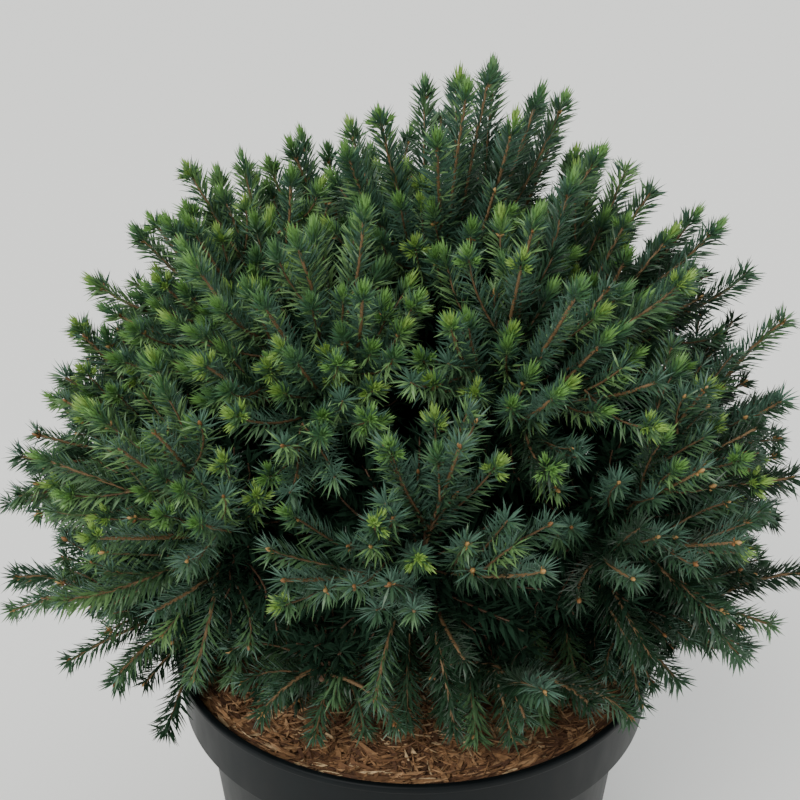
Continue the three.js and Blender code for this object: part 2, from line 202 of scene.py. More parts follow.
def tubes(paths, radii, sides):
    """Closed tapering tubes with pointed ends along many paths of equally many points.

    paths is (tubes, points, 3) and radii (tubes, points). Gives corners and triangles."""
    count, points, _ = paths.shape
    tangents = unit(np.gradient(paths, axis=1))
    helper = np.where(np.abs(tangents[:, :1, 2:]) > 0.9, [[[1.0, 0, 0]]], [[[0, 0, 1.0]]])
    side = unit(np.cross(tangents, helper))
    rise = np.cross(side, tangents)
    turn = np.arange(sides) * 2 * math.pi / sides
    around = turned(side[:, :, None], rise[:, :, None], turn)
    rings = paths[:, :, None] + around * radii[:, :, None, None]
    foot = paths[:, :1] - tangents[:, :1] * radii[:, :1, None] * 0.5
    tip = paths[:, -1:] + tangents[:, -1:] * radii[:, -1:, None] * 0.8
    corners = np.concatenate([rings.reshape(count, -1, 3), foot, tip], axis=1)
    faces = []
    for j in range(points - 1):
        for i in range(sides):
            a, b = j * sides + i, j * sides + (i + 1) % sides
            faces += [(a, a + sides, b), (b, a + sides, b + sides)]
    last = (points - 1) * sides
    for i in range(sides):
        following = (i + 1) % sides
        faces += [(i, following, points * sides), (last + following, last + i, points * sides + 1)]
    return joined_copies(corners, faces)


WIDEST_AT, KEEL = 0.46, 0.4  # place of a needle's widest part along it, and its arch in widths


def needle_blades(base, along, length, width, crest):
    """Closed keeled blades of four corners and four faces each, the last two of them underneath."""
    side = unit(np.cross(along, crest))
    top = np.cross(side, along)
    length, width = np.asarray(length)[:, None], np.asarray(width)[:, None]
    middle = base + along * (WIDEST_AT * length) + top * KEEL * width
    half = side * 0.5 * width
    corners = np.stack([base, middle - half, middle + half, base + along * length], axis=1)
    return joined_copies(corners, [(0, 2, 1), (1, 2, 3), (0, 1, 3), (0, 3, 2)])


# --- the crown's rule
def crown_reach(ways):
    """How far the crown reaches from the hub in each direction."""
    flat = np.maximum(np.hypot(ways[..., 0], ways[..., 1]), 1e-6)
    side, front = ways[..., 0] / flat, -ways[..., 1] / flat
    front_tuck = np.where(front > 0, FRONT_TUCK, BACK_TUCK)
    side_tuck = np.where(side < 0, LEFT_TUCK, RIGHT_TUCK)
    spread = np.where(side < 0, LEFT_SPREAD, RIGHT_SPREAD)
    low = 1 - smoothstep(TUCK_FULL, TUCK_FROM, ways[..., 2])
    near_level = np.exp(-((ways[..., 2] / SPREAD_BAND) ** 2))
    tuck = (front_tuck * front**2 + side_tuck * side**2) * low
    return CROWN_RADIUS * (1 - tuck + spread * side**4 * near_level)


@lru_cache(maxsize=None)
def masses():
    """Name, tier and direction of each mass, then the unseen directions that bound the lowest ones."""
    found = []
    for tier in TIERS:
        for i in range(tier["count"]):
            name = f"{tier['name']}_{i + 1}" if tier["count"] > 1 else tier["name"]
            toward = direction(tier["az0"] + 360 * i / tier["count"], tier["elevation"])
            found.append({"name": name, "tier": tier, "toward": toward, "place": i})
    skirt = TIERS[0]
    turns = [skirt["az0"] + 360 * i / skirt["count"] for i in range(skirt["count"])]
    unseen = np.array([direction(turn, LOWEST_ELEVATION) for turn in turns])
    return found, np.array([mass["toward"] for mass in found]), unseen


def cell_of(ways):
    """The number of the mass whose cell holds each direction, or -1 below the lowest ones."""
    found, towards, unseen = masses()
    nearest = np.argmax(ways @ np.concatenate([towards, unseen]).T, axis=1)
    return np.where(nearest < len(found), nearest, -1)


def cell_width(walls, toward, across):
    """The angle from a mass's axis, in one direction across it, at which its cell ends."""
    widest = 0.0
    while True:
        angle = widest + MAIN_TWIG["angle_step"]
        if (walls @ turned(toward, across, angle)).min() * CROWN_RADIUS <= MAIN_TWIG["tip_margin"]:
            return widest
        widest = angle


def main_twigs(number):
    """Roots and tips of a mass's main twigs, in the solids' spiral, and its stem's end."""
    found, towards, unseen = masses()
    mass = found[number]
    first_seed, seed_step = MAIN_TWIG["seeds"]
    random = seeded(first_seed + seed_step * number)
    toward, tier = mass["toward"], mass["tier"]
    depth = crown_reach(toward) - HUB_RADIUS
    count = round(tier["twigs"] * min(max(depth / MAIN_TWIG["full_depth"], MAIN_TWIG["fewest"]), 1.0))
    side, rise = across_from(toward)
    others = np.concatenate([np.delete(towards, number, axis=0), unseen])
    walls = unit(toward - others)
    ways = []
    for k in range(count):
        across = turned(side, rise, k * GOLDEN_ANGLE + MAIN_TWIG["jitter"] * next(random))
        angle = cell_width(walls, toward, across) * math.sqrt(k / (count - 1))
        ways.append(turned(toward, across, angle))
    stem_end = HUB_RADIUS + (crown_reach(toward) - HUB_RADIUS) * MAIN_TWIG["stem"]
    inset, (first, run), (least, spread) = (MAIN_TWIG[part] for part in ("inset", "roots", "reach"))
    roots, tips = [], []
    for k, way in enumerate(ways):
        lift = tier["lift"] if k < tier["leaders"] else 0.0
        reach = crown_reach(way) * (least + spread * next(random) + lift)
        along = first + run * k / count
        roots.append(HUB + toward * (HUB_RADIUS + inset + (stem_end - HUB_RADIUS - inset) * along))
        tips.append(HUB + way * reach)
    return np.array(roots), np.array(tips), stem_end


# --- shoots
Shoot = namedtuple("Shoot", "path radii bare kind mass vigour")  # bare: share without needles
PATH_POINTS = 6
SIDE_ANGLE = math.tan(math.radians(40))  # a side twig's slope away from its main twig
OVERHANG = 5 * MM  # how far the last needles reach past a shoot's tip
POT_MARGIN, WALL_MARGIN = 4 * MM, 6 * MM
HANG = 45 * MM  # how far shoots outside the pot may hang below its rim

EVEN_SHARE, SCATTER = 0.87, 0.22  # surface for each of the spread tips, and their scatter, in spacings
LOWEST_TIP = -0.62  # height on the unit ball
FEWER_TIPS, FEWER_INSIDE = 1.5, 0.4  # where the crown is drawn in, as powers of its reach
BARE_BELOW, BARE_FALL = 0.44, 1.2  # height of the bare place low in front, and its fall inwards
BAREST, FRONT_THINNING = 0.93, 0.18  # share of the shoots missing there, and in the whole front
WIDE_SWELL, FINE_SWELL = 0.045, 0.035  # of the crown's uneven surface
TIP_REACH, FURTHEST = (0.90, 1.03), 1.035  # of the crown's reach
SET_BACK, LOW_SET_BACK = 0.055, 0.085  # of side shoots behind main twigs, and more low in front
CROWDED = 11 * MM  # from a side shoot's tip to a long one's
INNER_SHARES = (0.8, 0.63, 0.48, 0.34)  # depths of the inner shoots
DEEP_SHARE = 0.5  # those deeper than this grow beside the boughs
DEEP_ROOTS = (0.5, 0.8)  # of their depth
DEEP_BARE, LEAST_BARE = 0.1, 0.04  # share of a shoot at its foot without needles

FRONT_DRAW, FRONT_DROOP = 18 * MM, 26 * MM  # how far main twigs draw in and droop low in front
LOWEST_MAIN_TIP = 14 * MM  # above the soil
HANGING_BEND, FRONT_BEND = 0.55, 1.2  # how far low shoots turn down at their ends, and more in front
TIP_WANDER = {"main": 0.1, "side": 0.16, "deep": 0.2}

FRESH_AND_PAINTED_LIGHT_SIDE = unit(np.array([-0.43, -0.41, 0.80]))  # growth is strongest and newest here; the key light falls from near here too, so greens brightened towards it are partly painted light
WEAKEST = -1
# Which green each spray gets: it rises towards the fresh side, partly for fresher growth and partly as
# painted light, since the key light falls from there; it is lowered a little everywhere, and more in the
# front's middle above the hub, as painted shade.
VIGOUR_AND_PAINTED_LIGHT = {"grown": 0.75, "freshest_and_painted_light": 0.16, "painted_shade_drop": 0.21, "front_painted_shade": 0.18, "scatter": 0.22}

# Radius of each kind of shoot at its foot and at its tip, in millimetres.
GIRTHS = {
    "stem": (2.4, 1.4), "main": (1.15, 0.65), "long": (1.05, 0.65), "hanging": (1.0, 0.65),
    "tip": (0.65, 0.4), "inner": (0.65, 0.4), "deep": (0.8, 0.5),
}
MAIN_NEEDLED = 92 * MM  # the run of a main twig that bears needles
# Least length of a side shoot, the run of it that bears needles, and how far it turns up.
Growth = namedtuple("Growth", "shortest needled upright")
OUTLINE_GROWTH = Growth(52 * MM, 80 * MM, 0.3)
LEADER_GROWTH = Growth(78 * MM, 92 * MM, 0.5)
UPRIGHT_GROWTH = Growth(62 * MM, 82 * MM, 0.6)
SIDE_GROWTH = Growth(9 * MM, 58 * MM, 0.3)

# Shoots that shape the outline, as azimuth, elevation and reach in millimetres.
OUTLINE = (
    (21, 66, 212), (12, 61, 220), (9, 57, 217), (5, 51, 217), (-1, 42, 219), (-5, 35, 221),
    (-20, 30, 208), (-27, 22, 206), (-19, 4, 204), (-25, -7, 184), (-36, -1, 186), (-28, -17, 160),
    (170, 59, 222), (161, 64, 210), (150, 70, 209), (175, 49, 211), (180, 41, 210), (-177, 35, 206),
    (-170, 30, 202), (-167, 18, 210), (-169, 11, 208), (-162, 2, 208), (-142, 9, 200), (-151, -14, 176),
    (-144, -23, 168),
    (-48, 0, 156), (-72, 6, 176), (-64, 1, 172),
    (30, 5, 206), (60, 12, 204), (95, 3, 196), (130, 8, 202), (110, 45, 212), (75, 50, 210), (50, 32, 208),
    (150, 25, 210),
)
# The leaders: a bunch of upright shoots round one direction, tallest in its middle.
LEADERS = {
    "count": 15,
    "toward": direction(12, 81),
    "spread": math.radians(21),
    "tallest": 240 * MM,
    "fall": 32 * MM,
    "fall_scatter": (0.7, 1.15),
}
# Upright shoots round the upper crown, but for its front.
UPRIGHT = {"count": 28, "elevations": (49, 68), "stand_out": (1.02, 1.1), "foremost": -0.44}
# Shoots that arch over the low front and hang down to the mulch, in turn nearer and further out.
HANGING = {
    "count": 13,
    "azimuths": (-150, -32),
    "from_axis": (84 * MM, 116 * MM),
    "above_soil": (9 * MM, 40 * MM),
    "length": (54 * MM, 72 * MM),
    # These low shoots hang in the crown's shade and are given brighter greens than that: painted light.
    "vigour": (0.22, 0.15),  # mean and scatter
    "bare": 0.12,
}


def facing_front(ways):
    """1 in the middle of the front, 0 on the sides and the back."""
    return smoothstep(0.5, 0.9, -ways[..., 1])


def bareness(ways, below):
    """Share of the shoots that are missing low in front, below a height on the unit ball."""
    facing = -ways[:, 1] / np.maximum(np.hypot(ways[:, 0], ways[:, 1]), 1e-6)
    return BAREST * smoothstep(0.36, 0.78, facing) * (1 - smoothstep(below - 0.2, below, ways[:, 2]))


def spread_directions(spacing, share, rng):
    """Directions for tips that lie `spacing` apart all over the crown at `share` of its reach."""
    radius = CROWN_RADIUS * share
    count = int(4 * math.pi * radius**2 / (EVEN_SHARE * spacing**2))
    k = np.arange(count)
    z = 1 - (2 * k + 1) / count
    turn = k * GOLDEN_ANGLE
    flat = np.sqrt(1 - z * z)
    ways = np.stack([flat * np.cos(turn), flat * np.sin(turn), z], axis=1)
    ways = unit(ways + rng.normal(0, SCATTER * spacing / radius, ways.shape))
    # Fewer tips share the surface where the crown is drawn in, and low in front the mulch shows.
    shown = (crown_reach(ways) / CROWN_RADIUS) ** (FEWER_TIPS if share == 1 else FEWER_INSIDE)
    shown *= 1 - bareness(ways, BARE_BELOW - BARE_FALL * (1 - share))
    shown *= 1 - FRONT_THINNING * facing_front(ways) * (share == 1)
    return ways[(rng.random(count) < shown) & (ways[:, 2] > LOWEST_TIP)]


def clumping(way):
    """A slow rise and fall of the crown's surface, so that its outline is uneven."""
    x, y, z = way
    wide = WIDE_SWELL * math.sin(9 * x + 2 * z + 1) * math.cos(8 * y - 3 * x)
    return 1 + wide + FINE_SWELL * math.sin(17 * z + 11 * y) * math.cos(15 * x + 2)


def tip_share(way):
    """How far out a side shoot's tip stands: a little behind the main twigs."""
    low = (1 - smoothstep(-0.2, 0.25, way[2])) * (1 - smoothstep(0.1, 0.6, way[1]))
    return 1 - SET_BACK - LOW_SET_BACK * low


def clear_of_pot(tip):
    from_axis = np.hypot(tip[0], tip[1])
    if from_axis < SOIL_RADIUS - WALL_MARGIN:
        return tip[2] > SOIL_TOP + POT_MARGIN
    return tip[2] > (RIM_Z + POT_MARGIN if from_axis < LIP_RADIUS + POT_MARGIN else RIM_Z - HANG)


def bend(start, control, end, points):
    share = np.linspace(0, 1, points)[:, None]
    return (1 - share) ** 2 * start + 2 * share * (1 - share) * control + share**2 * end


def sweep(start, tip, ending):
    """A twig's path that turns part of the way towards the direction in which it ends."""
    straight = (start + tip) / 2
    swept = tip - ending * 0.5 * np.linalg.norm(tip - start)
    return bend(start, straight * 0.45 + swept * 0.55, tip, PATH_POINTS)


class Crown:
    """Grows the crown's twigs: main twigs from their stems first, and the other shoots from those."""

    def __init__(self, seed):
        self.rng = np.random.default_rng(seed)
        self.found = masses()[0]
        self.shoots = []
        self.grow_main_twigs()
        self.long_tips = []
        self.grow_outline()
        self.grow_leaders()
        self.grow_upright()
        self.grow_hanging()

    def add(self, path, bare, kind, mass, vigour, girth=None):
        radii = np.linspace(*GIRTHS[girth or kind], len(path)) * MM
        self.shoots.append(Shoot(path, radii, bare, kind, mass, vigour))

    def vigour_and_painted_light_at(self, way):
        """Which green a spray gets: brighter towards the fresh side, from stronger growth and as painted
        light where the key light falls, and darker in the front's middle as painted shade.
        """
        way = unit(way)
        strength = max(float(way @ FRESH_AND_PAINTED_LIGHT_SIDE), 0.1)
        # Sprays in the front's middle above the hub are dealt darker greens: painted shade.
        in_front = facing_front(way) * smoothstep(-0.3, 0.1, way[2])
        painted_shade_drop = VIGOUR_AND_PAINTED_LIGHT["painted_shade_drop"] + VIGOUR_AND_PAINTED_LIGHT["front_painted_shade"] * in_front
        freshest_and_painted_light = VIGOUR_AND_PAINTED_LIGHT["freshest_and_painted_light"] * smoothstep(0.7, 1.0, strength)
        return VIGOUR_AND_PAINTED_LIGHT["grown"] * strength + freshest_and_painted_light - painted_shade_drop + self.rng.normal(0, VIGOUR_AND_PAINTED_LIGHT["scatter"])

    def ending(self, way, wander, upright=0.3, hanging=HANGING_BEND):
        """The direction in which a shoot ends: turned up high on the plant and hanging low down."""
        way = unit(way)
        low = 1 - smoothstep(-0.15, 0.3, way[2])
        turning = UP * (upright * (1 - low) - hanging * low)
        return unit(way + turning + self.rng.normal(0, TIP_WANDER[wander], 3))

    def grow_main_twigs(self):
        """The stem of each mass and its main twigs, as the solids have them."""
        all_roots, all_tips, self.owners = [], [], []
        for number, mass in enumerate(self.found):
            roots, tips, stem_end = main_twigs(number)
            places = np.linspace(HUB_RADIUS - 2 * MM, stem_end, PATH_POINTS)
            stem = np.stack([HUB + mass["toward"] * place for place in places])
            self.add(stem, 1.0, "stem", number, 0)
            ways = unit(tips - HUB)
            drooping = bareness(ways, BARE_BELOW)
            tips = tips - ways * (OVERHANG + drooping[:, None] * FRONT_DRAW)
            tips = tips - UP * (drooping[:, None] * FRONT_DROOP)
            tips[:, 2] = np.maximum(tips[:, 2], SOIL_TOP + LOWEST_MAIN_TIP)
            for root, tip, droop in zip(roots, tips, drooping):
                bare = max(0.0, 1 - MAIN_NEEDLED / np.linalg.norm(tip - root))
                ending = self.ending(tip - HUB, "main", hanging=HANGING_BEND + FRONT_BEND * droop)
                path = sweep(root, tip, ending)
                self.add(path, bare, "main", number, self.vigour_and_painted_light_at(tip - HUB))
                all_roots.append(root)
                all_tips.append(tip)
                self.owners.append(number)
        self.roots = np.array(all_roots)
        from_roots = np.array(all_tips) - self.roots
        self.lines, self.runs = unit(from_roots), np.linalg.norm(from_roots, axis=1)

    def branch_to(self, tip, way, kind, growth):
        """Grows a side shoot to a tip from whichever main twig is nearest."""
        roots, lines, runs = self.roots, self.lines, self.runs
        along = ((tip - roots) * lines).sum(1)
        gap = np.linalg.norm(roots + lines * along[:, None] - tip, axis=1)
        closest = int(np.argmin(gap))
        if kind == "tip" and gap[closest] < 5 * MM and along[closest] < runs[closest]:
            return
        back = np.maximum(gap / SIDE_ANGLE + SIDE_GROWTH.shortest, growth.shortest)
        starts = roots + lines * np.clip(along - back, 0.06 * runs, runs - 6 * MM)[:, None]
        lengths = np.linalg.norm(tip - starts, axis=1)
        best = int(np.argmin(lengths))
        path = sweep(starts[best], tip, self.ending(way, "side", growth.upright))
        bare = max(LEAST_BARE, 1 - growth.needled / lengths[best])
        self.add(path, bare, kind, self.owners[best], self.vigour_and_painted_light_at(way))

    def fill_to(self, tip, way, number, share):
        """Grows a shaded shoot deep in the crown, from beside its bough."""
        start = HUB + self.found[number]["toward"] * CROWN_RADIUS * share * self.rng.uniform(*DEEP_ROOTS)
        self.add(sweep(start, tip, self.ending(way, "deep")), DEEP_BARE, "deep", number, WEAKEST)

    def hang_to(self, tip, way, length):
        """Grows a long shoot from the nearest main twig over the low front and down to its tip."""
        crest = tip + unit(UP - 0.5 * way) * length
        along = np.clip(((crest - self.roots) * self.lines).sum(1), 0.1 * self.runs, 0.9 * self.runs)
        starts = self.roots + self.lines * along[:, None]
        best = int(np.argmin(np.linalg.norm(starts - crest, axis=1)))
        path = bend(starts[best], crest, tip, PATH_POINTS)
        vigour = self.rng.normal(*HANGING["vigour"])
        self.add(path, HANGING["bare"], "long", self.owners[best], vigour, "hanging")

    def grow_long(self, way, reach, growth):
        self.long_tips.append(HUB + way * (reach - OVERHANG))
        self.branch_to(self.long_tips[-1], way, "long", growth)

    def grow_outline(self):
        """The listed shoots that shape the crown's outline."""
        for azimuth, elevation, reach in OUTLINE:
            self.grow_long(direction(azimuth, elevation), reach * MM, OUTLINE_GROWTH)

    def grow_leaders(self):
        side, rise = across_from(LEADERS["toward"])
        for k in range(LEADERS["count"]):
            away = math.sqrt((k + 0.3) / LEADERS["count"])
            across = turned(side, rise, k * GOLDEN_ANGLE)
            way = unit(LEADERS["toward"] + across * math.tan(LEADERS["spread"] * away))
            fall = LEADERS["fall"] * away**1.5 * self.rng.uniform(*LEADERS["fall_scatter"])
            self.grow_long(way, LEADERS["tallest"] - fall, LEADER_GROWTH)

    def grow_upright(self):
        low, high = (math.sin(math.radians(e)) for e in UPRIGHT["elevations"])
        for k in range(UPRIGHT["count"]):
            height = low + (high - low) * ((k * 0.618) % 1)
            way = direction(math.degrees(k * GOLDEN_ANGLE), math.degrees(math.asin(height)))
            if way[1] >= UPRIGHT["foremost"]:
                reach = crown_reach(way) * self.rng.uniform(*UPRIGHT["stand_out"])
                self.grow_long(way, reach, UPRIGHT_GROWTH)

    def grow_hanging(self):
        rng, (nearest, furthest) = self.rng, HANGING["from_axis"]
        for k in range(HANGING["count"]):
            share = (k + rng.uniform(0.3, 0.7)) / HANGING["count"]
            way = direction(HANGING["azimuths"][0] * (1 - share) + HANGING["azimuths"][1] * share, 0)
            nearer = 0.5 * (k % 2) + rng.uniform(0, 0.4)
            out = furthest - (furthest - nearest) * nearer
            tip = way * out + UP * (SOIL_TOP + rng.uniform(*HANGING["above_soil"]))
            self.hang_to(tip, way, rng.uniform(*HANGING["length"]))
            self.long_tips.append(tip)

    def fill(self, kind, spacing, share):
        """Side shoots evenly spread over the crown's surface, or over a smaller one inside it."""
        long_tips = np.array(self.long_tips)
        ways = spread_directions(spacing, share, self.rng)
        for way, number in zip(ways, cell_of(ways)):
            if number < 0:
                continue
            swelling = min(self.rng.uniform(*TIP_REACH) * clumping(way), FURTHEST)
            reach = crown_reach(way) * share * swelling
            if kind == "tip":
                reach *= tip_share(way)
            tip = HUB + way * (reach - OVERHANG * share)
            crowded = kind == "tip" and np.linalg.norm(long_tips - tip, axis=1).min() < CROWDED
            if not clear_of_pot(tip) or crowded:
                continue
            if share < DEEP_SHARE:
                self.fill_to(tip, way, number, share)
            else:
                self.branch_to(tip, way, kind, SIDE_GROWTH)


@lru_cache(maxsize=None)
def grown_shoots():
    """Every twig of the crown."""
    crown = Crown(settings().seed)
    crown.fill("tip", settings().tip_spacing, 1.0)
    for share in INNER_SHARES:
        crown.fill("inner", settings().inner_spacing, share)
    return crown.shoots


def point_at(path, shares):
    """Points and directions at given shares of a path."""
    steps = np.linalg.norm(np.diff(path, axis=0), axis=1)
    run = np.concatenate([[0], np.cumsum(steps)]) / steps.sum()
    points = np.stack([np.interp(shares, run, path[:, axis]) for axis in range(3)], axis=1)
    slopes = np.gradient(path, axis=0)
    ways = np.stack([np.interp(shares, run, slopes[:, axis]) for axis in range(3)], axis=1)
    return points, unit(ways), steps.sum()


# --- materials
def plain_material(name, colour, roughness, gloss=0.5):
    """A finish that is the same all over, for pieces made of thousands of small blades."""
    material = bpy.data.materials.new(name)
    material.use_nodes = True
    shader = material.node_tree.nodes["Principled BSDF"]
    shader.inputs["Base Color"].default_value = (*colour, 1)
    shader.inputs["Roughness"].default_value = roughness
    shader.inputs["Specular IOR Level"].default_value = gloss
    return material


ROUGHNESS_SWING = 0.1
GRAIN_BAND = (0.32, 0.68)  # of the noise, which the colours share out


def grained_material(name, colours, roughness, scale, bump, depth, stretch=(1, 1, 1), gloss=0.5):
    """Colours that run through a noise in object space, with a bump and roughness from the same grain."""
    material = plain_material(name, colours[0], roughness, gloss)
    nodes, links = material.node_tree.nodes, material.node_tree.links
    shader = nodes["Principled BSDF"]
    place = nodes.new("ShaderNodeTexCoord")
    mapping = nodes.new("ShaderNodeMapping")
    mapping.inputs["Scale"].default_value = stretch
    noise = nodes.new("ShaderNodeTexNoise")
    noise.inputs["Scale"].default_value = scale
    noise.inputs["Detail"].default_value = 6.0
    ramp = nodes.new("ShaderNodeValToRGB")
    low, high = GRAIN_BAND
    for i, colour in enumerate(colours):
        at = low + (high - low) * i / max(len(colours) - 1, 1)
        stop = ramp.color_ramp.elements[i] if i < 2 else ramp.color_ramp.elements.new(at)
        stop.position = at
        stop.color = (*colour, 1)
    rough = nodes.new("ShaderNodeMapRange")
    rough.inputs["To Min"].default_value = max(roughness - ROUGHNESS_SWING, 0)
    rough.inputs["To Max"].default_value = min(roughness + ROUGHNESS_SWING, 1)
    relief = nodes.new("ShaderNodeBump")
    relief.inputs["Strength"].default_value = bump
    relief.inputs["Distance"].default_value = depth
    links.new(place.outputs["Object"], mapping.inputs["Vector"])
    links.new(mapping.outputs["Vector"], noise.inputs["Vector"])
    links.new(noise.outputs["Fac"], ramp.inputs["Fac"])
    links.new(noise.outputs["Fac"], rough.inputs["Value"])
    links.new(noise.outputs["Fac"], relief.inputs["Height"])
    links.new(ramp.outputs["Color"], shader.inputs["Base Color"])
    links.new(rough.outputs["Result"], shader.inputs["Roughness"])
    links.new(relief.outputs["Normal"], shader.inputs["Normal"])
    return material


# --- modelling steps
def select_only(piece):
    bpy.ops.object.select_all(action="DESELECT")
    piece.select_set(True)
    bpy.context.view_layer.objects.active = piece


def lathe(profile, sides):
    """A closed solid: a disc extruded through rings of the given radii and heights, and closed on top."""
    radius, height = profile[0]
    bpy.ops.object.select_all(action="DESELECT")
    bpy.ops.mesh.primitive_circle_add(vertices=sides, radius=radius, fill_type="NGON")
    solid = bpy.context.object
    bpy.ops.object.mode_set(mode="EDIT")
    for wider, higher in profile[1:]:
        bpy.ops.mesh.extrude_region_move(TRANSFORM_OT_translate={"value": (0, 0, higher - height)})
        bpy.ops.transform.resize(value=(wider / radius, wider / radius, 1))
        radius, height = wider, higher
    bpy.ops.mesh.edge_face_add()
    bpy.ops.mesh.select_all(action="SELECT")
    bpy.ops.mesh.normals_make_consistent(inside=False)
    bpy.ops.object.mode_set(mode="OBJECT")
    return solid


def apply_modifiers(piece):
    select_only(piece)
    for modifier in list(piece.modifiers):
        bpy.ops.object.modifier_apply(modifier=modifier.name)


def settle(piece, name, material):
    """Names a modelled piece, puts its place into its mesh and rides it on the body."""
    select_only(piece)
    bpy.ops.object.transform_apply(location=True, rotation=True, scale=True)
    piece.name = piece.data.name = name
    piece.data.materials.clear()
    piece.data.materials.append(material)
    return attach(piece, "root")


# --- pot
POT = {
    "wall": 2.2 * MM,
    "floor": 3 * MM,
    "base": 101 * MM,
    "neck": 117.5 * MM,
    "collar": 33 * MM,
    "collar_low": 128 * MM,
    "collar_top": 129.4 * MM,
    "undercut": 0.2 * MM,  # rise of the collar's underside
    "lip_height": 4 * MM,
    "lip_slope": 0.6 * MM,  # half the height of the slope under the lip
    "edge": 0.8 * MM,
    "heel": 2 * MM,
    "slots": 8,
    "slot": (17 * MM, 13 * MM, 11 * MM),
    "slot_out": 3 * MM,  # past the wall
    "slot_edge": 2 * MM,
    "rounding": 0.5 * MM,
    "sides": 160,
}


def cut_slots(pot):
    """Drainage slots where the wall meets the floor."""
    for i in range(POT["slots"]):
        angle = (i + 0.5) * 2 * math.pi / POT["slots"]
        out = POT["base"] + POT["slot_out"] - POT["slot"][0] / 2
        bpy.ops.object.select_all(action="DESELECT")
        bpy.ops.mesh.primitive_cube_add(
            size=1,
            location=(out * math.cos(angle), out * math.sin(angle), 0),
            rotation=(0, 0, angle),
            scale=POT["slot"],
        )
        cutter = bpy.context.object
        bite = cutter.modifiers.new("rounding", "BEVEL")
        bite.width, bite.segments = POT["slot_edge"], 3
        cut = pot.modifiers.new("slot", "BOOLEAN")
        cut.object, cut.operation = cutter, "DIFFERENCE"
        apply_modifiers(cutter)
        apply_modifiers(pot)
        bpy.data.objects.remove(cutter)


class SPRUCE_OT_pot(bpy.types.Operator):
    """Round nursery pot: tapering body, stepped collar, small lip and drainage slots"""

    bl_idname = "spruce.pot"
    bl_label = "Pot"

    def execute(self, context):
        wall, edge, heel = POT["wall"], POT["edge"], POT["heel"]
        shoulder, lip = RIM_Z - POT["collar"], RIM_Z - POT["lip_height"]
        profile = [
            (POT["base"] - heel, 0),
            (POT["base"], heel),
            (POT["neck"], shoulder),
            (POT["collar_low"] - edge, shoulder + POT["undercut"]),
            (POT["collar_low"], shoulder + POT["undercut"] + edge),
            (POT["collar_top"], lip - POT["lip_slope"]),
            (LIP_RADIUS, lip + POT["lip_slope"]),
            (LIP_RADIUS, RIM_Z - edge),
            (LIP_RADIUS - edge, RIM_Z),
            (POT["collar_top"] - wall + edge, RIM_Z),
            (POT["collar_top"] - wall, RIM_Z - edge),
            (POT["collar_low"] - wall, shoulder + wall),
            (POT["neck"] - wall, shoulder + wall),
            (POT["base"] - wall, POT["floor"]),
        ]
        pot = lathe(profile, POT["sides"])
        cut_slots(pot)
        rounding = pot.modifiers.new("rounding", "BEVEL")
        rounding.width, rounding.segments, rounding.angle_limit = POT["rounding"], 2, math.radians(35)
        apply_modifiers(pot)
        grey = np.array(settings().pot_grey)
        plastic = grained_material(
            "moulded_pot_plastic",
            (grey * 0.85, grey, grey * 1.3),
            0.46, scale=90, bump=0.12, depth=0.3 * MM, stretch=(1, 1, 0.35), gloss=0.11,
        )
        settle(pot, "nursery_pot", plastic)
        bpy.ops.object.shade_smooth_by_angle(angle=math.radians(30))
        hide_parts("pot")
        return {"FINISHED"}


# --- mulch
SOIL_FLAT = 27 * MM  # radius of the level patch that the trunk stands on
SOIL_DOME = 5 * MM
BUMP = 2.2 * MM
BUMP_SINK = 0.35  # how far the mean surface lies below the soil's highest bumps
BUMP_PITCH = (9 * MM, 11 * MM)
POTTING_BROWNS = ((0.030, 0.014, 0.008), (0.075, 0.034, 0.017), (0.15, 0.075, 0.038))
CHIP_BROWNS = (
    (0.088, 0.039, 0.018),
    (0.160, 0.077, 0.034),
    (0.255, 0.134, 0.059),
    (0.36, 0.208, 0.102),
    (0.50, 0.355, 0.20),
)
CHIP_SHARES = (0.26, 0.32, 0.24, 0.13, 0.05)
STRIPS_PER_CHIP = 20
# Lengths and widths of bark pieces in millimetres, and their thickness as a share of the width.
BARK = {
    "bark_chips": ((8, 22), (2.4, 4.4), 0.45),
    "bark_strips": ((6, 18), (0.7, 2.4), 0.5),
    "bark_fibres": ((8, 24), (0.35, 0.8), 1.0),
}


def soil_height(x, y):
    """Height of the soil's surface at points inside the pot."""
    from_axis = np.hypot(x, y)
    share = np.clip((SOIL_RADIUS - from_axis) / (SOIL_RADIUS - SOIL_FLAT), 0, 1)
    edge = SOIL_TOP - SOIL_DOME - BUMP * BUMP_SINK
    wave = BUMP * np.sin(x / BUMP_PITCH[0]) * np.cos(y / BUMP_PITCH[1])
    rough = np.where((share > 0.05) & (share < 0.98), wave, 0)
    return edge + SOIL_DOME * smoothstep(0, 1, share) + rough


def scattered_bark(count, long, broad, thick, rng):
    """Corners and faces of bark pieces that lie all over the soil."""
    radius = (SOIL_RADIUS - 1.5 * MM) * np.sqrt(rng.random(count))
    turn = rng.random(count) * 2 * math.pi
    x, y = radius * np.cos(turn), radius * np.sin(turn)
    length = rng.uniform(*long, count) * MM
    width = rng.uniform(*broad, count) * MM
    heading = rng.random(count) * 2 * math.pi
    # Near the wall the pieces lie along it.
    near_wall = radius + length / 2 > SOIL_RADIUS - 2 * MM
    heading = np.where(near_wall, turn + math.pi / 2 + rng.normal(0, 0.12, count), heading)
    tilt = np.where(near_wall, 0.05, rng.normal(0, 0.16, count))
    level = np.stack([np.cos(heading), np.sin(heading), np.zeros(count)], axis=1)
    along = turned(level, UP, tilt)
    centre = np.stack([x, y, soil_height(x, y) + rng.uniform(0.2, 3.0, count) * MM], axis=1)
    crest = unit(UP + rng.normal(0, 0.35, (count, 3)))
    return slabs(centre, along, length, width, thick * width.clip(0, 1.2 * MM), crest)


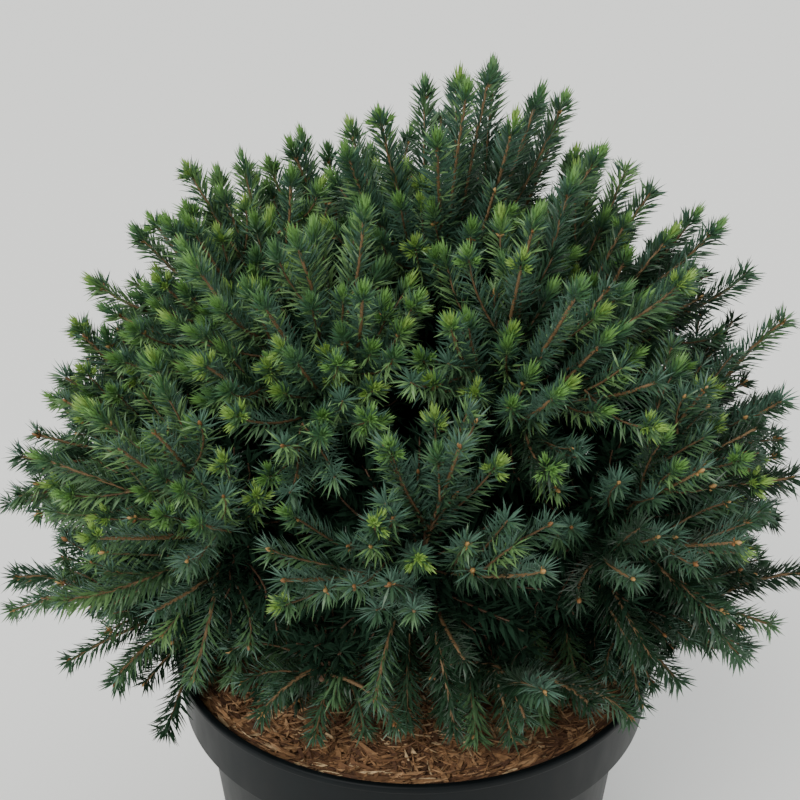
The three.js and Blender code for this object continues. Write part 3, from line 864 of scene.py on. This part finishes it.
class SPRUCE_OT_mulch(bpy.types.Operator):
    """Shredded bark on the soil: thousands of curled strips and fibres in several browns"""

    bl_idname = "spruce.mulch"
    bl_label = "Bark mulch"

    strips: bpy.props.IntProperty(name="Strips", description="Number of bark strips", default=8600)
    fibres: bpy.props.IntProperty(name="Fibres", description="Number of fine fibres", default=4600)

    def execute(self, context):
        rng = np.random.default_rng(settings().seed + 1)
        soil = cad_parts["soil"]
        soil.data.materials.clear()
        soil.data.materials.append(
            grained_material("damp_potting_mix", POTTING_BROWNS, 0.95, scale=160, bump=0.8, depth=2 * MM)
        )
        browns = []
        for i, brown in enumerate(np.array(CHIP_BROWNS)):
            shades = (brown * 0.62, brown, brown * 1.3)
            browns.append(
                grained_material(f"bark_strip_{i + 1}", shades, 0.85, scale=420, bump=0.6, depth=0.4 * MM)
            )
        counts = (self.strips // STRIPS_PER_CHIP, self.strips, self.fibres)
        for (name, (long, broad, thick)), count in zip(BARK.items(), counts):
            corners, faces = scattered_bark(count, long, broad, thick, rng)
            shade = rng.choice(len(browns), count, p=CHIP_SHARES)
            piece = mesh_piece(name, corners, faces, browns, np.repeat(shade, len(faces) // count))
        return {"FINISHED"}


def slabs(centre, along, length, width, thick, crest):
    """Closed ragged slabs with pointed, slightly lifted ends: ten corners each."""
    side = unit(np.cross(along, crest))
    top = np.cross(side, along)
    half = length[:, None] / 2
    broad = width[:, None] / 2
    high = thick[:, None] / 2
    lift = 0.06 * length[:, None]
    corners = [centre - along * half + top * lift, centre + along * half + top * lift]
    for place in (-0.45, 0.5):
        for across, over in ((-1, -1), (1, -1), (1, 1), (-1, 1)):
            corners.append(centre + along * half * place + side * broad * across + top * high * over)
    corners = np.stack(corners, axis=1)
    pattern = []
    for i in range(4):
        a, b = 2 + i, 2 + (i + 1) % 4
        pattern += [(0, b, a), (a, b, b + 4), (a, b + 4, a + 4), (a + 4, b + 4, 1)]
    return joined_copies(corners, pattern)


# --- trunk and boughs
FOOT_LEAN = np.array([-3 * MM, 1 * MM])  # the trunk leans from here to the hub's top
TRUNK_RINGS = (0, 0.05, 0.12, 0.25, 0.45, 0.7, 1)  # as shares of the height
FLARE = ((0, 0.05, 0.12, 0.25, 1), (17.5, 15.6, 13.6, 11.5, 5.0))  # the same, and radii in millimetres
BOUGH_RADII, BOUGH_POINTS = (4.4, 2.5), 7
RIDGE_PITCH = 7 * MM
BARK_BROWNS = ((0.060, 0.030, 0.018), (0.135, 0.070, 0.040), (0.23, 0.135, 0.085))


def limb_piece(name, paths, sides, relief):
    """Limbs along lists of (point, radius), swept round and roughened like bark."""
    curve = bpy.data.curves.new(name, "CURVE")
    curve.dimensions = "3D"
    curve.bevel_depth = 1
    curve.bevel_resolution = sides
    curve.resolution_u = 8
    curve.use_fill_caps = True
    for path in paths:
        line = curve.splines.new("NURBS")
        line.points.add(len(path) - 1)
        for spot, (point, radius) in zip(line.points, path):
            spot.co = (*point, 1)
            spot.radius = radius
        line.use_endpoint_u = True
        line.order_u = 3
    limb = bpy.data.objects.new(name, curve)
    bpy.context.collection.objects.link(limb)
    select_only(limb)
    bpy.ops.object.convert(target="MESH")
    limb = bpy.context.object
    ridges = bpy.data.textures.new(f"{name}_ridges", "VORONOI")
    ridges.noise_scale = RIDGE_PITCH
    push = limb.modifiers.new("relief", "DISPLACE")
    push.texture, push.strength, push.mid_level = ridges, relief, 0.6
    push.texture_coords = "LOCAL"
    apply_modifiers(limb)
    return limb


def on_trunk(share):
    """The point on the trunk's axis at a share of its height."""
    tip = HUB + masses()[1][-1] * HUB_RADIUS
    lean = FOOT_LEAN * (1 - share) + tip[:2] * share
    return np.array([*lean, TRUNK_FOOT + share * (tip[2] - TRUNK_FOOT)])


class SPRUCE_OT_limbs(bpy.types.Operator):
    """Short trunk with its root flare, and the boughs that leave it for each mass of shoots"""

    bl_idname = "spruce.limbs"
    bl_label = "Trunk and boughs"

    def execute(self, context):
        bark = grained_material(
            "scaly_bark", BARK_BROWNS, 0.85, scale=120, bump=0.6, depth=1 * MM, stretch=(1, 1, 0.5)
        )
        radii = np.interp(TRUNK_RINGS, *FLARE) * MM
        path = [(on_trunk(share), radius) for share, radius in zip(TRUNK_RINGS, radii)]
        trunk = limb_piece("trunk_bark", [path], 10, 1.6 * MM)
        for corner in trunk.data.vertices:
            corner.co.z = max(corner.co.z, TRUNK_FOOT)
        trunk = settle(trunk, "trunk_bark", bark)
        bpy.ops.object.shade_smooth()
        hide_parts("trunk")

        height = on_trunk(1)[2] - TRUNK_FOOT
        paths, nodes = [], []
        for mass in masses()[0]:
            forks = FORKS.get(mass["tier"]["name"])
            if not forks:
                continue
            start = on_trunk((forks[mass["place"] % 2] - TRUNK_FOOT) / height)
            end = HUB + mass["toward"] * HUB_RADIUS
            control = end - mass["toward"] * np.linalg.norm(end - start) / 2
            path = bend(start, control, end, BOUGH_POINTS)
            paths.append(list(zip(path, np.linspace(*BOUGH_RADII, BOUGH_POINTS) * MM)))
            nodes.append(f"bough_{mass['name']}")
        boughs = settle(limb_piece("bough_bark", paths, 5, 0.6 * MM), "bough_bark", bark)
        bpy.ops.object.shade_smooth()
        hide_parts(*nodes)
        return {"FINISHED"}


# --- twigs
class SPRUCE_OT_twigs(bpy.types.Operator):
    """Stems, main twigs and this year's orange-brown shoots, without their needles"""

    bl_idname = "spruce.twigs"
    bl_label = "Twigs"

    def execute(self, context):
        shoots = grown_shoots()
        for name, kinds, colour, sides in (
            ("old_stems", ("stem",), (0.105, 0.055, 0.028), 7),
            ("main_twigs", ("main", "long"), (0.178, 0.108, 0.047), 6),
            ("side_twigs", ("tip",), (0.145, 0.086, 0.039), 4),
            ("inner_twigs", ("inner", "deep"), (0.095, 0.050, 0.026), 3),
        ):
            chosen = [shoot for shoot in shoots if shoot.kind in kinds]
            paths, radii = (np.array(part) for part in zip(*((s.path, s.radii) for s in chosen)))
            corners, faces = tubes(paths, radii, sides)
            piece = mesh_piece(name, corners, faces, [plain_material(name, colour, 0.7)], smooth=True)
        return {"FINISHED"}


# --- needles
GREENS = ("painted_shade_green", "deep_green", "blue_green", "mid_green", "bright_green")
VIGOUR_AND_PAINTED_LIGHT_STEPS = (-0.22, 0.16, 0.47)  # from deep green up to bright green
MATT, SATIN = (0.9, 0.1), (0.42, 0.5)  # roughness and gloss
PALE_UNDERSIDE = (0.055, 0.125, 0.085)
PAINTED_SHADE_FROM = (16, 30)  # millimetres from the tip, past which needles are painted a step darker as shade
SHADED = ("inner", "deep")
# Spacing, length and width of each kind of shoot's needles, as multiples of the settings. In the shade they
# are fewer and broader: the broad dark blades deep inside fill the crown's interior as painted shade.
NEEDLES = {
    "main": (0.9, 1.0, 1.0),
    "long": (0.68, 1.12, 1.15),
    "tip": (1.0, 1.0, 1.0),
    "inner": (2.4, 1.15, 2.1),
    "deep": (2.4, 1.4, 3.2),
}
FEWEST_NEEDLES = 6
# The last needles are spread round the bud, so that a shoot seen end on is a star.
WHORL = {"count": 14, "depth": 1.6 * MM, "leans": (24, 84)}
# Degrees between needle and shoot, less at the tip and along the upper side.
LEAN = {"foot": 64, "tip": 14, "above": 20, "scatter": 6}
SHORTER_AT_TIP, SHORTER_AT_FOOT = 0.14, 0.12


def needles_on(shoot, plant, rng):
    """A shoot's needles: feet, directions, lengths, widths, crests and distances from its tip."""
    _, _, run = point_at(shoot.path, np.array([0.0]))
    bare = shoot.bare
    spacing, longer, broader = NEEDLES[shoot.kind]
    count = max(int(run * (1 - bare) / (plant.needle_pitch * spacing)), FEWEST_NEEDLES)
    whorl = 0 if shoot.kind in SHADED else WHORL["count"]
    shares = bare + (1 - bare) * (np.arange(count) + rng.random(count)) / count
    shares = np.concatenate([shares, 1 - rng.random(whorl) * WHORL["depth"] / run])
    feet, ways, _ = point_at(shoot.path, shares)
    side, _ = across_from(ways[0])
    side = unit(side - ways * (ways @ side)[:, None])
    rise = np.cross(ways, side)
    turn = np.arange(count + whorl) * GOLDEN_ANGLE + rng.normal(0, 0.25, count + whorl)
    outward = turned(side, rise, turn)
    to_tip = (shares - bare) / (1 - bare)
    above = np.clip(outward[:, 2], 0, 1)
    lean = LEAN["foot"] - LEAN["tip"] * to_tip - LEAN["above"] * above
    lean += rng.normal(0, LEAN["scatter"], count + whorl)
    lean[count:] = rng.uniform(*WHORL["leans"], whorl)
    along = unit(turned(ways, outward, np.radians(lean)) + UP * 0.08)
    shorter = 1 - SHORTER_AT_TIP * smoothstep(0.8, 1.0, to_tip)
    shorter -= SHORTER_AT_FOOT * (1 - smoothstep(0, 0.15, to_tip))
    lengths = plant.needle_length * shorter * rng.uniform(0.86, 1.1, count + whorl) * longer
    widths = np.full(count + whorl, plant.needle_width * broader)
    crest = unit(UP * 0.8 + outward * 0.6 + rng.normal(0, 0.25, (count + whorl, 3)))
    return feet, along, lengths, widths, crest, (1 - shares) * run


def green_of(shoot):
    """Which green a spray has: the darkest inside the crown, as painted shade, and brighter where growth is
    strong and the key light falls, partly as painted light.
    """
    if shoot.kind in SHADED:
        return 0
    return 1 + int(np.digitize(shoot.vigour, VIGOUR_AND_PAINTED_LIGHT_STEPS))


def joined(shapes):
    """The arrays of many shoots, each kind joined end to end."""
    return (np.concatenate(part) for part in zip(*shapes))


class SPRUCE_OT_needles(bpy.types.Operator):
    """Grown needles of every shoot, joined by tier and side of the crown"""

    bl_idname = "spruce.needles"
    bl_label = "Needles"

    def execute(self, context):
        plant = settings()
        rng = np.random.default_rng(plant.seed + 2)
        found = masses()[0]
        greens = [plain_material(f"needle_{name}", getattr(plant, name), *SATIN) for name in GREENS[1:]]
        # The first green is painted shade, for the needles inside the crown.
        greens.insert(0, plain_material("needle_painted_shade_green", plant.painted_shade_green, *MATT))
        greens.append(plain_material("needle_pale_underside", PALE_UNDERSIDE, 0.5))
        groups = {}
        for number, mass in enumerate(found):
            x, y, _ = mass["toward"]
            key = f"{mass['tier']['name']}_{'back' if y > 0 else 'front'}_{'right' if x > 0 else 'left'}"
            groups.setdefault(key.replace("leader", "upper"), []).append(number)
        for key, numbers in groups.items():
            gathered, shades = [], []
            for shoot in grown_shoots():
                if shoot.mass not in numbers or shoot.kind == "stem":
                    continue
                *blades, from_tip = needles_on(shoot, plant, rng)
                gathered.append(blades)
                # Needles further from the tip, deeper in the spray, are painted a step darker: painted
                # shade.
                darker_as_painted_shade = from_tip > rng.uniform(*PAINTED_SHADE_FROM) * MM
                green = green_of(shoot)
                shades.append(np.clip(green - darker_as_painted_shade, min(green, 1), None))
            corners, faces = needle_blades(*joined(gathered))
            shade = np.concatenate(shades)
            by_face = np.repeat(shade[:, None], 4, axis=1)
            by_face[:, 2:] = np.where(shade[:, None] > 1, len(GREENS), shade[:, None])
            piece = mesh_piece(f"needles_{key}", corners, faces, greens, by_face.ravel())
            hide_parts(*[f"foliage_{found[n]['name']}" for n in numbers])
        return {"FINISHED"}


# --- buds and new growth
CLOSED, OPENED, LENGTHENED = 0, 1, 2
# Chances that a tip's buds have lengthened or opened, on top of the plant and on its fresh side.
LENGTHENED_CHANCES, OPENED_CHANCES = (0.55, 0.2), (0.12, 0.48)
CLOSED_SHOWN = 0.6  # share of the closed tips whose buds are large enough to see
BUD_LENGTH, BUD_SINK = 3.4 * MM, 0.6 * MM
BUD_PLACES, BUD_GIRTHS = (0.0, 0.25, 0.6, 0.9), (0.65, 1.05, 0.85, 0.28)  # radii in millimetres
WHORL_CHANCES = (0.5, 0.22, 0.18, 0.1)  # of no bud behind the tip, or of one, two or three
WHORL_FORWARD, WHORL_SCALE = 0.75, 0.78
BUD_BROWNS = {"tan": (0.40, 0.235, 0.085), "chestnut": (0.235, 0.11, 0.038)}
Tuft = namedtuple("Tuft", "count run length leans")  # leans: degrees at its foot and at its end
END_TUFT = Tuft(22, 4.2 * MM, 6.2 * MM, (50, 8))
SIDE_TUFT = Tuft(17, 3.5 * MM, 5.2 * MM, (50, 8))
NEW_NEEDLE_WIDTH = 1.15 * MM
LIME_TINTS = {
    "lime": (1, 1, 1),
    "leaf_green": (0.62, 0.78, 0.9),
    "fresh_green": (0.42, 0.56, 0.85),
    "deep_green": (0.24, 0.37, 0.75),
}
BRUSH_GREENS = ((3, 3, 2), (3, 2, 1), (3, 2, 1), (2, 1, 0))  # numbers of the tints, from foot to end


def outer_tips():
    """Tip and direction of each shoot that reaches the crown's surface."""
    paths = [shoot.path for shoot in grown_shoots() if shoot.kind in ("tip", "main", "long")]
    tips = np.array([path[-1] for path in paths])
    return tips, unit(np.array([path[-1] - path[-2] for path in paths]))


def bud_stages(tips):
    """How far each tip's buds have come: most have lengthened on top, and low down few have opened."""
    rng = np.random.default_rng(settings().seed + 3)
    ways = unit(tips - HUB)
    sunny = np.clip(ways @ FRESH_AND_PAINTED_LIGHT_SIDE, 0, 1) ** 6
    draw = rng.random(len(tips))
    on_top, fresh = LENGTHENED_CHANCES
    lengthened = on_top * smoothstep(0.45, 0.85, ways[:, 2]) + fresh * sunny
    on_top, fresh = OPENED_CHANCES
    opened = on_top * smoothstep(0.1, 0.4, ways[:, 2]) + fresh * sunny
    return np.where(draw < lengthened, LENGTHENED, np.where(draw < lengthened + opened, OPENED, CLOSED))


def whorl_round(way, start, count, step):
    """Directions across a shoot, in a whorl."""
    side, rise = across_from(way)
    return [turned(side, rise, start + k * step) for k in range(count)]


class SPRUCE_OT_buds(bpy.types.Operator):
    """Closed buds: one at the end of a shoot, and often a few in a whorl behind it"""

    bl_idname = "spruce.buds"
    bl_label = "Buds"

    def execute(self, context):
        rng = np.random.default_rng(settings().seed + 4)
        tips, ways = outer_tips()
        stages = bud_stages(tips)
        budded = (stages == LENGTHENED) | (stages == CLOSED) & (rng.random(len(tips)) < CLOSED_SHOWN)
        buds = []
        for tip, way, stage in zip(tips[budded], ways[budded], stages[budded]):
            size = rng.uniform(0.8, 1.15)
            if stage == CLOSED:
                buds.append((tip - way * BUD_SINK, way, size))
            start = rng.random() * 2 * math.pi
            count = int(rng.choice(len(WHORL_CHANCES), p=WHORL_CHANCES))
            for outward in whorl_round(way, start, count, 2 * math.pi / max(count, 1)):
                foot = tip - way * 1.4 * MM + outward * 0.4 * MM
                buds.append((foot, unit(way * WHORL_FORWARD + outward), size * WHORL_SCALE))
        feet, alongs, sizes = (np.array(part) for part in zip(*buds))
        places = np.array(BUD_PLACES) * BUD_LENGTH
        girths = np.array(BUD_GIRTHS) * MM
        paths = feet[:, None] + alongs[:, None] * places[None, :, None] * sizes[:, None, None]
        corners, faces = tubes(paths, girths[None] * sizes[:, None], 6)
        browns = [plain_material(f"bud_scale_{name}", colour, 0.5) for name, colour in BUD_BROWNS.items()]
        shade = np.repeat(rng.choice(2, len(feet), p=(0.6, 0.4)), len(faces) // len(feet))
        piece = mesh_piece("buds", corners, faces, browns, shade, smooth=True)
        return {"FINISHED"}


class SPRUCE_OT_new_growth(bpy.types.Operator):
    """Tufts of lime needles where buds have just opened"""

    bl_idname = "spruce.new_growth"
    bl_label = "New growth"

    def execute(self, context):
        plant = settings()
        rng = np.random.default_rng(plant.seed + 5)
        gathered, shades = [], []

        def add_tuft(foot, axis, tuft, greens):
            """A brush of needles along a short run, whose lean and green go from its foot to its end."""
            count = tuft.count
            share = (np.arange(count) + 0.5) / count
            turn = np.arange(count) * GOLDEN_ANGLE + rng.random() * 6
            side, rise = across_from(axis)
            outward = turned(side, rise, turn)
            lean = tuft.leans[0] + (tuft.leans[1] - tuft.leans[0]) * share
            lean = np.radians(lean + rng.normal(0, 4, count))
            along = unit(turned(axis, outward, lean) + UP * 0.05)
            feet = foot + axis * (share * tuft.run)[:, None]
            lengths = rng.uniform(0.82, 1.1, count) * tuft.length
            gathered.append((feet, along, lengths, np.full(count, NEW_NEEDLE_WIDTH), outward + UP * 0.5))
            shades.append(np.array(greens)[(share * len(greens)).astype(int)])

        tips, ways = outer_tips()
        for tip, way, stage in zip(tips, ways, bud_stages(tips)):
            if stage == LENGTHENED:
                greens = BRUSH_GREENS[rng.integers(len(BRUSH_GREENS))]
                brush = Tuft(34, rng.uniform(5, 8) * MM, 8.5 * MM, (52, 10))
                add_tuft(tip - way * MM, way, brush, greens)
            if stage == OPENED:
                shade = int(rng.random() < 0.45)
                add_tuft(tip, way, END_TUFT, (2, shade, shade))
                start = rng.random() * 2 * math.pi
                for outward in whorl_round(way, start, int(rng.integers(2, 5)), 1.7):
                    foot = tip - way * 1.5 * MM + outward * MM
                    add_tuft(foot, unit(way * WHORL_FORWARD + outward), SIDE_TUFT, (2, shade, shade))
        corners, faces = needle_blades(*joined(gathered))
        limes = [
            plain_material(f"new_needle_{name}", np.array(plant.lime) * tint, 0.5)
            for name, tint in LIME_TINTS.items()
        ]
        piece = mesh_piece("new_growth", corners, faces, limes, np.repeat(np.concatenate(shades), 4))
        return {"FINISHED"}


# --- stage
CAMERA_PLACE = (0, -0.544, RIM_Z + 0.371)
CAMERA_DIP, CAMERA_TURN = 23.45, 0.82  # degrees below the level, and to the left
FIELD_OF_VIEW = 38.0
FLOOR_RADIUS, FLOOR_DROP = 12, 0.2 * MM
FLOOR_COLOUR, SKY_COLOUR = (0.90, 0.91, 0.89), (1.0, 1.0, 0.985)
SKY_STRENGTH = 0.64
# Tilt and softness of each light in degrees, its strength and its colour.
LIGHTS = {
    "key_light": ((38, -30, 0), 40, 2.5, (1.0, 0.985, 0.95)),
    "top_light": ((-12, 14, 0), 70, 0.9, (0.96, 0.98, 1.0)),
}


class SPRUCE_OT_stage(bpy.types.Operator):
    """Pale floor, soft lights and the camera"""

    bl_idname = "spruce.stage"
    bl_label = "Stage"

    def execute(self, context):
        bpy.ops.object.select_all(action="DESELECT")
        bpy.ops.mesh.primitive_circle_add(
            vertices=96, radius=FLOOR_RADIUS, fill_type="NGON", location=(0, 0, -FLOOR_DROP)
        )
        floor = bpy.context.object
        floor.name = "floor"
        floor.data.materials.append(plain_material("pale_floor", FLOOR_COLOUR, 0.7))
        world = bpy.context.scene.world or bpy.data.worlds.new("studio")
        bpy.context.scene.world = world
        world.use_nodes = True
        sky = world.node_tree.nodes["Background"]
        sky.inputs["Color"].default_value = (*SKY_COLOUR, 1)
        sky.inputs["Strength"].default_value = SKY_STRENGTH
        for name, (tilt, softness, strength, colour) in LIGHTS.items():
            bpy.ops.object.light_add(type="SUN", rotation=[math.radians(a) for a in tilt])
            light = bpy.context.object
            light.name = name
            light.data.energy = strength
            light.data.angle = math.radians(softness)
            light.data.color = colour
        bpy.ops.object.camera_add(
            location=CAMERA_PLACE,
            rotation=(math.radians(90 - CAMERA_DIP), 0, math.radians(CAMERA_TURN)),
        )
        camera = bpy.context.object
        camera.data.sensor_fit = "HORIZONTAL"
        camera.data.angle = math.radians(FIELD_OF_VIEW)
        bpy.context.scene.camera = camera
        return {"FINISHED"}


# --- panel and run
STEPS = (
    SPRUCE_OT_pot,
    SPRUCE_OT_mulch,
    SPRUCE_OT_limbs,
    SPRUCE_OT_twigs,
    SPRUCE_OT_needles,
    SPRUCE_OT_buds,
    SPRUCE_OT_new_growth,
    SPRUCE_OT_stage,
)


class SPRUCE_PT_panel(bpy.types.Panel):
    """Steps that build the plant, in order"""

    bl_idname = "SPRUCE_PT_panel"
    bl_label = "Potted spruce"
    bl_space_type = "VIEW_3D"
    bl_region_type = "UI"
    bl_category = "Spruce"

    def draw(self, context):
        for name in SpruceSettings.__annotations__:
            self.layout.prop(context.scene.spruce, name)
        for step in STEPS:
            self.layout.operator(step.bl_idname)


CLASSES = (SpruceSettings, *STEPS, SPRUCE_PT_panel)


def register():
    for item in CLASSES:
        bpy.utils.register_class(item)
    bpy.types.Scene.spruce = bpy.props.PointerProperty(type=SpruceSettings)


def unregister():
    del bpy.types.Scene.spruce
    for item in reversed(CLASSES):
        bpy.utils.unregister_class(item)


def main():
    register()
    for step in STEPS:
        group, action = step.bl_idname.split(".")
        getattr(getattr(bpy.ops, group), action)()


if __name__ == "__main__":
    main()
